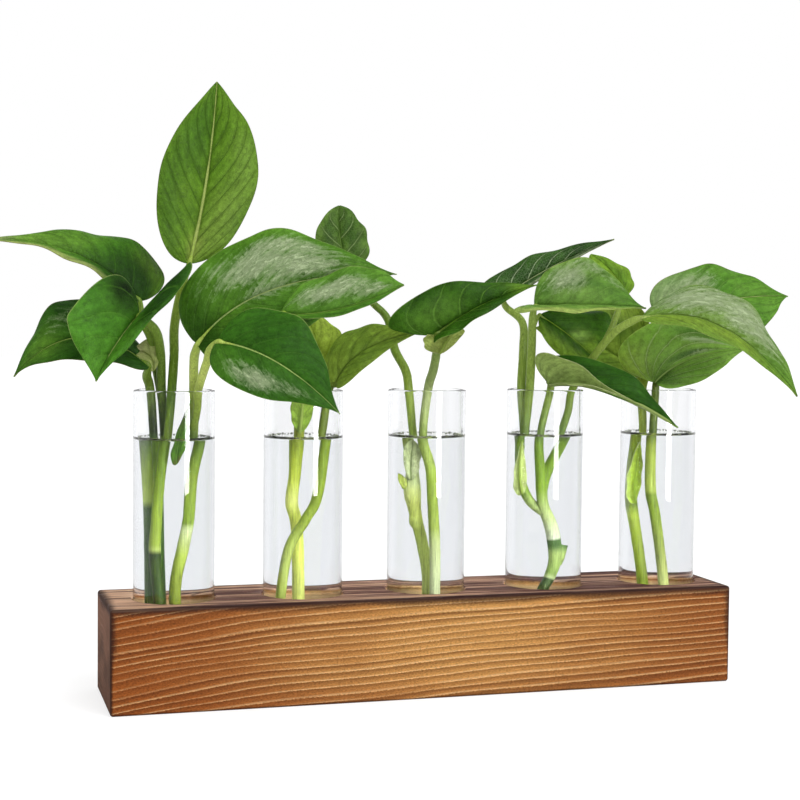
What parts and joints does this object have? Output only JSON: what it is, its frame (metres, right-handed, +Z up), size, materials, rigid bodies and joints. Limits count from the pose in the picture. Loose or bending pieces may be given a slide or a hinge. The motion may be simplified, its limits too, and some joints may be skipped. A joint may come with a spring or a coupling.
{
  "type": "test tube vase",
  "caption": "Long low wooden block with a row of upright flat-bottomed glass tubes standing in blind sockets, each tube holding leafy cuttings in water.",
  "frame": {"origin": "middle of the block's underside, where the vase stands", "axes": "+Z up, +X along the row of tubes to the right, -Y towards the front"},
  "size_m": [0.327, 0.0684, 0.229],
  "materials": {
    "torched_pine": "torched, brushed",
    "clear_glass": "clear",
    "stem_green": "living stem, satin",
    "leaf_green": "living leaf, satin"
  },
  "bodies": {
    "block": {"wood_block": "torched_pine"},
    "tube_1": {"glass_tube_1": "clear_glass"},
    "bunch_1": {"stem_1_left": "stem_green", "stem_1_back": "stem_green", "stem_1_middle": "stem_green", "stem_1_right": "stem_green", "leaf_1_upright": "leaf_green", "leaf_1_far_left": "leaf_green", "leaf_1_low_left": "leaf_green", "leaf_1_front_left": "leaf_green", "leaf_1_broad": "leaf_green", "leaf_1_right": "leaf_green", "leaf_1_front": "leaf_green"},
    "tube_2": {"glass_tube_2": "clear_glass"},
    "bunch_2": {"stem_2_left": "stem_green", "stem_2_right": "stem_green", "leaf_2_back": "leaf_green", "leaf_2_side": "leaf_green"},
    "tube_3": {"glass_tube_3": "clear_glass"},
    "bunch_3": {"stem_3_left": "stem_green", "stem_3_right": "stem_green", "leaf_3_small": "leaf_green", "leaf_3_front": "leaf_green"},
    "tube_4": {"glass_tube_4": "clear_glass"},
    "bunch_4": {"stem_4": "stem_green", "leaf_4_long": "leaf_green", "leaf_4_bowl": "leaf_green", "leaf_4_behind": "leaf_green", "leaf_4_hanging": "leaf_green", "leaf_4_front": "leaf_green", "leaf_4_droop": "leaf_green"},
    "tube_5": {"glass_tube_5": "clear_glass"},
    "bunch_5": {"stem_5_left": "stem_green", "stem_5_right": "stem_green", "leaf_5_left": "leaf_green", "leaf_5_back": "leaf_green", "leaf_5_fan": "leaf_green"}
  },
  "joints": [
    {"name": "tube_1_lift", "type": "slide", "parent": "block", "child": "tube_1", "axis": [0, 0, 1], "range_m": [0, 0.03]},
    {"name": "bunch_1_lift", "type": "slide", "parent": "tube_1", "child": "bunch_1", "axis": [0, 0, 1], "range_m": [0, 0.105]},
    {"name": "tube_2_lift", "type": "slide", "parent": "block", "child": "tube_2", "axis": [0, 0, 1], "range_m": [0, 0.03]},
    {"name": "bunch_2_lift", "type": "slide", "parent": "tube_2", "child": "bunch_2", "axis": [0, 0, 1], "range_m": [0, 0.105]},
    {"name": "tube_3_lift", "type": "slide", "parent": "block", "child": "tube_3", "axis": [0, 0, 1], "range_m": [0, 0.03]},
    {"name": "bunch_3_lift", "type": "slide", "parent": "tube_3", "child": "bunch_3", "axis": [0, 0, 1], "range_m": [0, 0.105]},
    {"name": "tube_4_lift", "type": "slide", "parent": "block", "child": "tube_4", "axis": [0, 0, 1], "range_m": [0, 0.03]},
    {"name": "bunch_4_lift", "type": "slide", "parent": "tube_4", "child": "bunch_4", "axis": [0, 0, 1], "range_m": [0, 0.105]},
    {"name": "tube_5_lift", "type": "slide", "parent": "block", "child": "tube_5", "axis": [0, 0, 1], "range_m": [0, 0.03]},
    {"name": "bunch_5_lift", "type": "slide", "parent": "tube_5", "child": "bunch_5", "axis": [0, 0, 1], "range_m": [0, 0.105]}
  ]
}
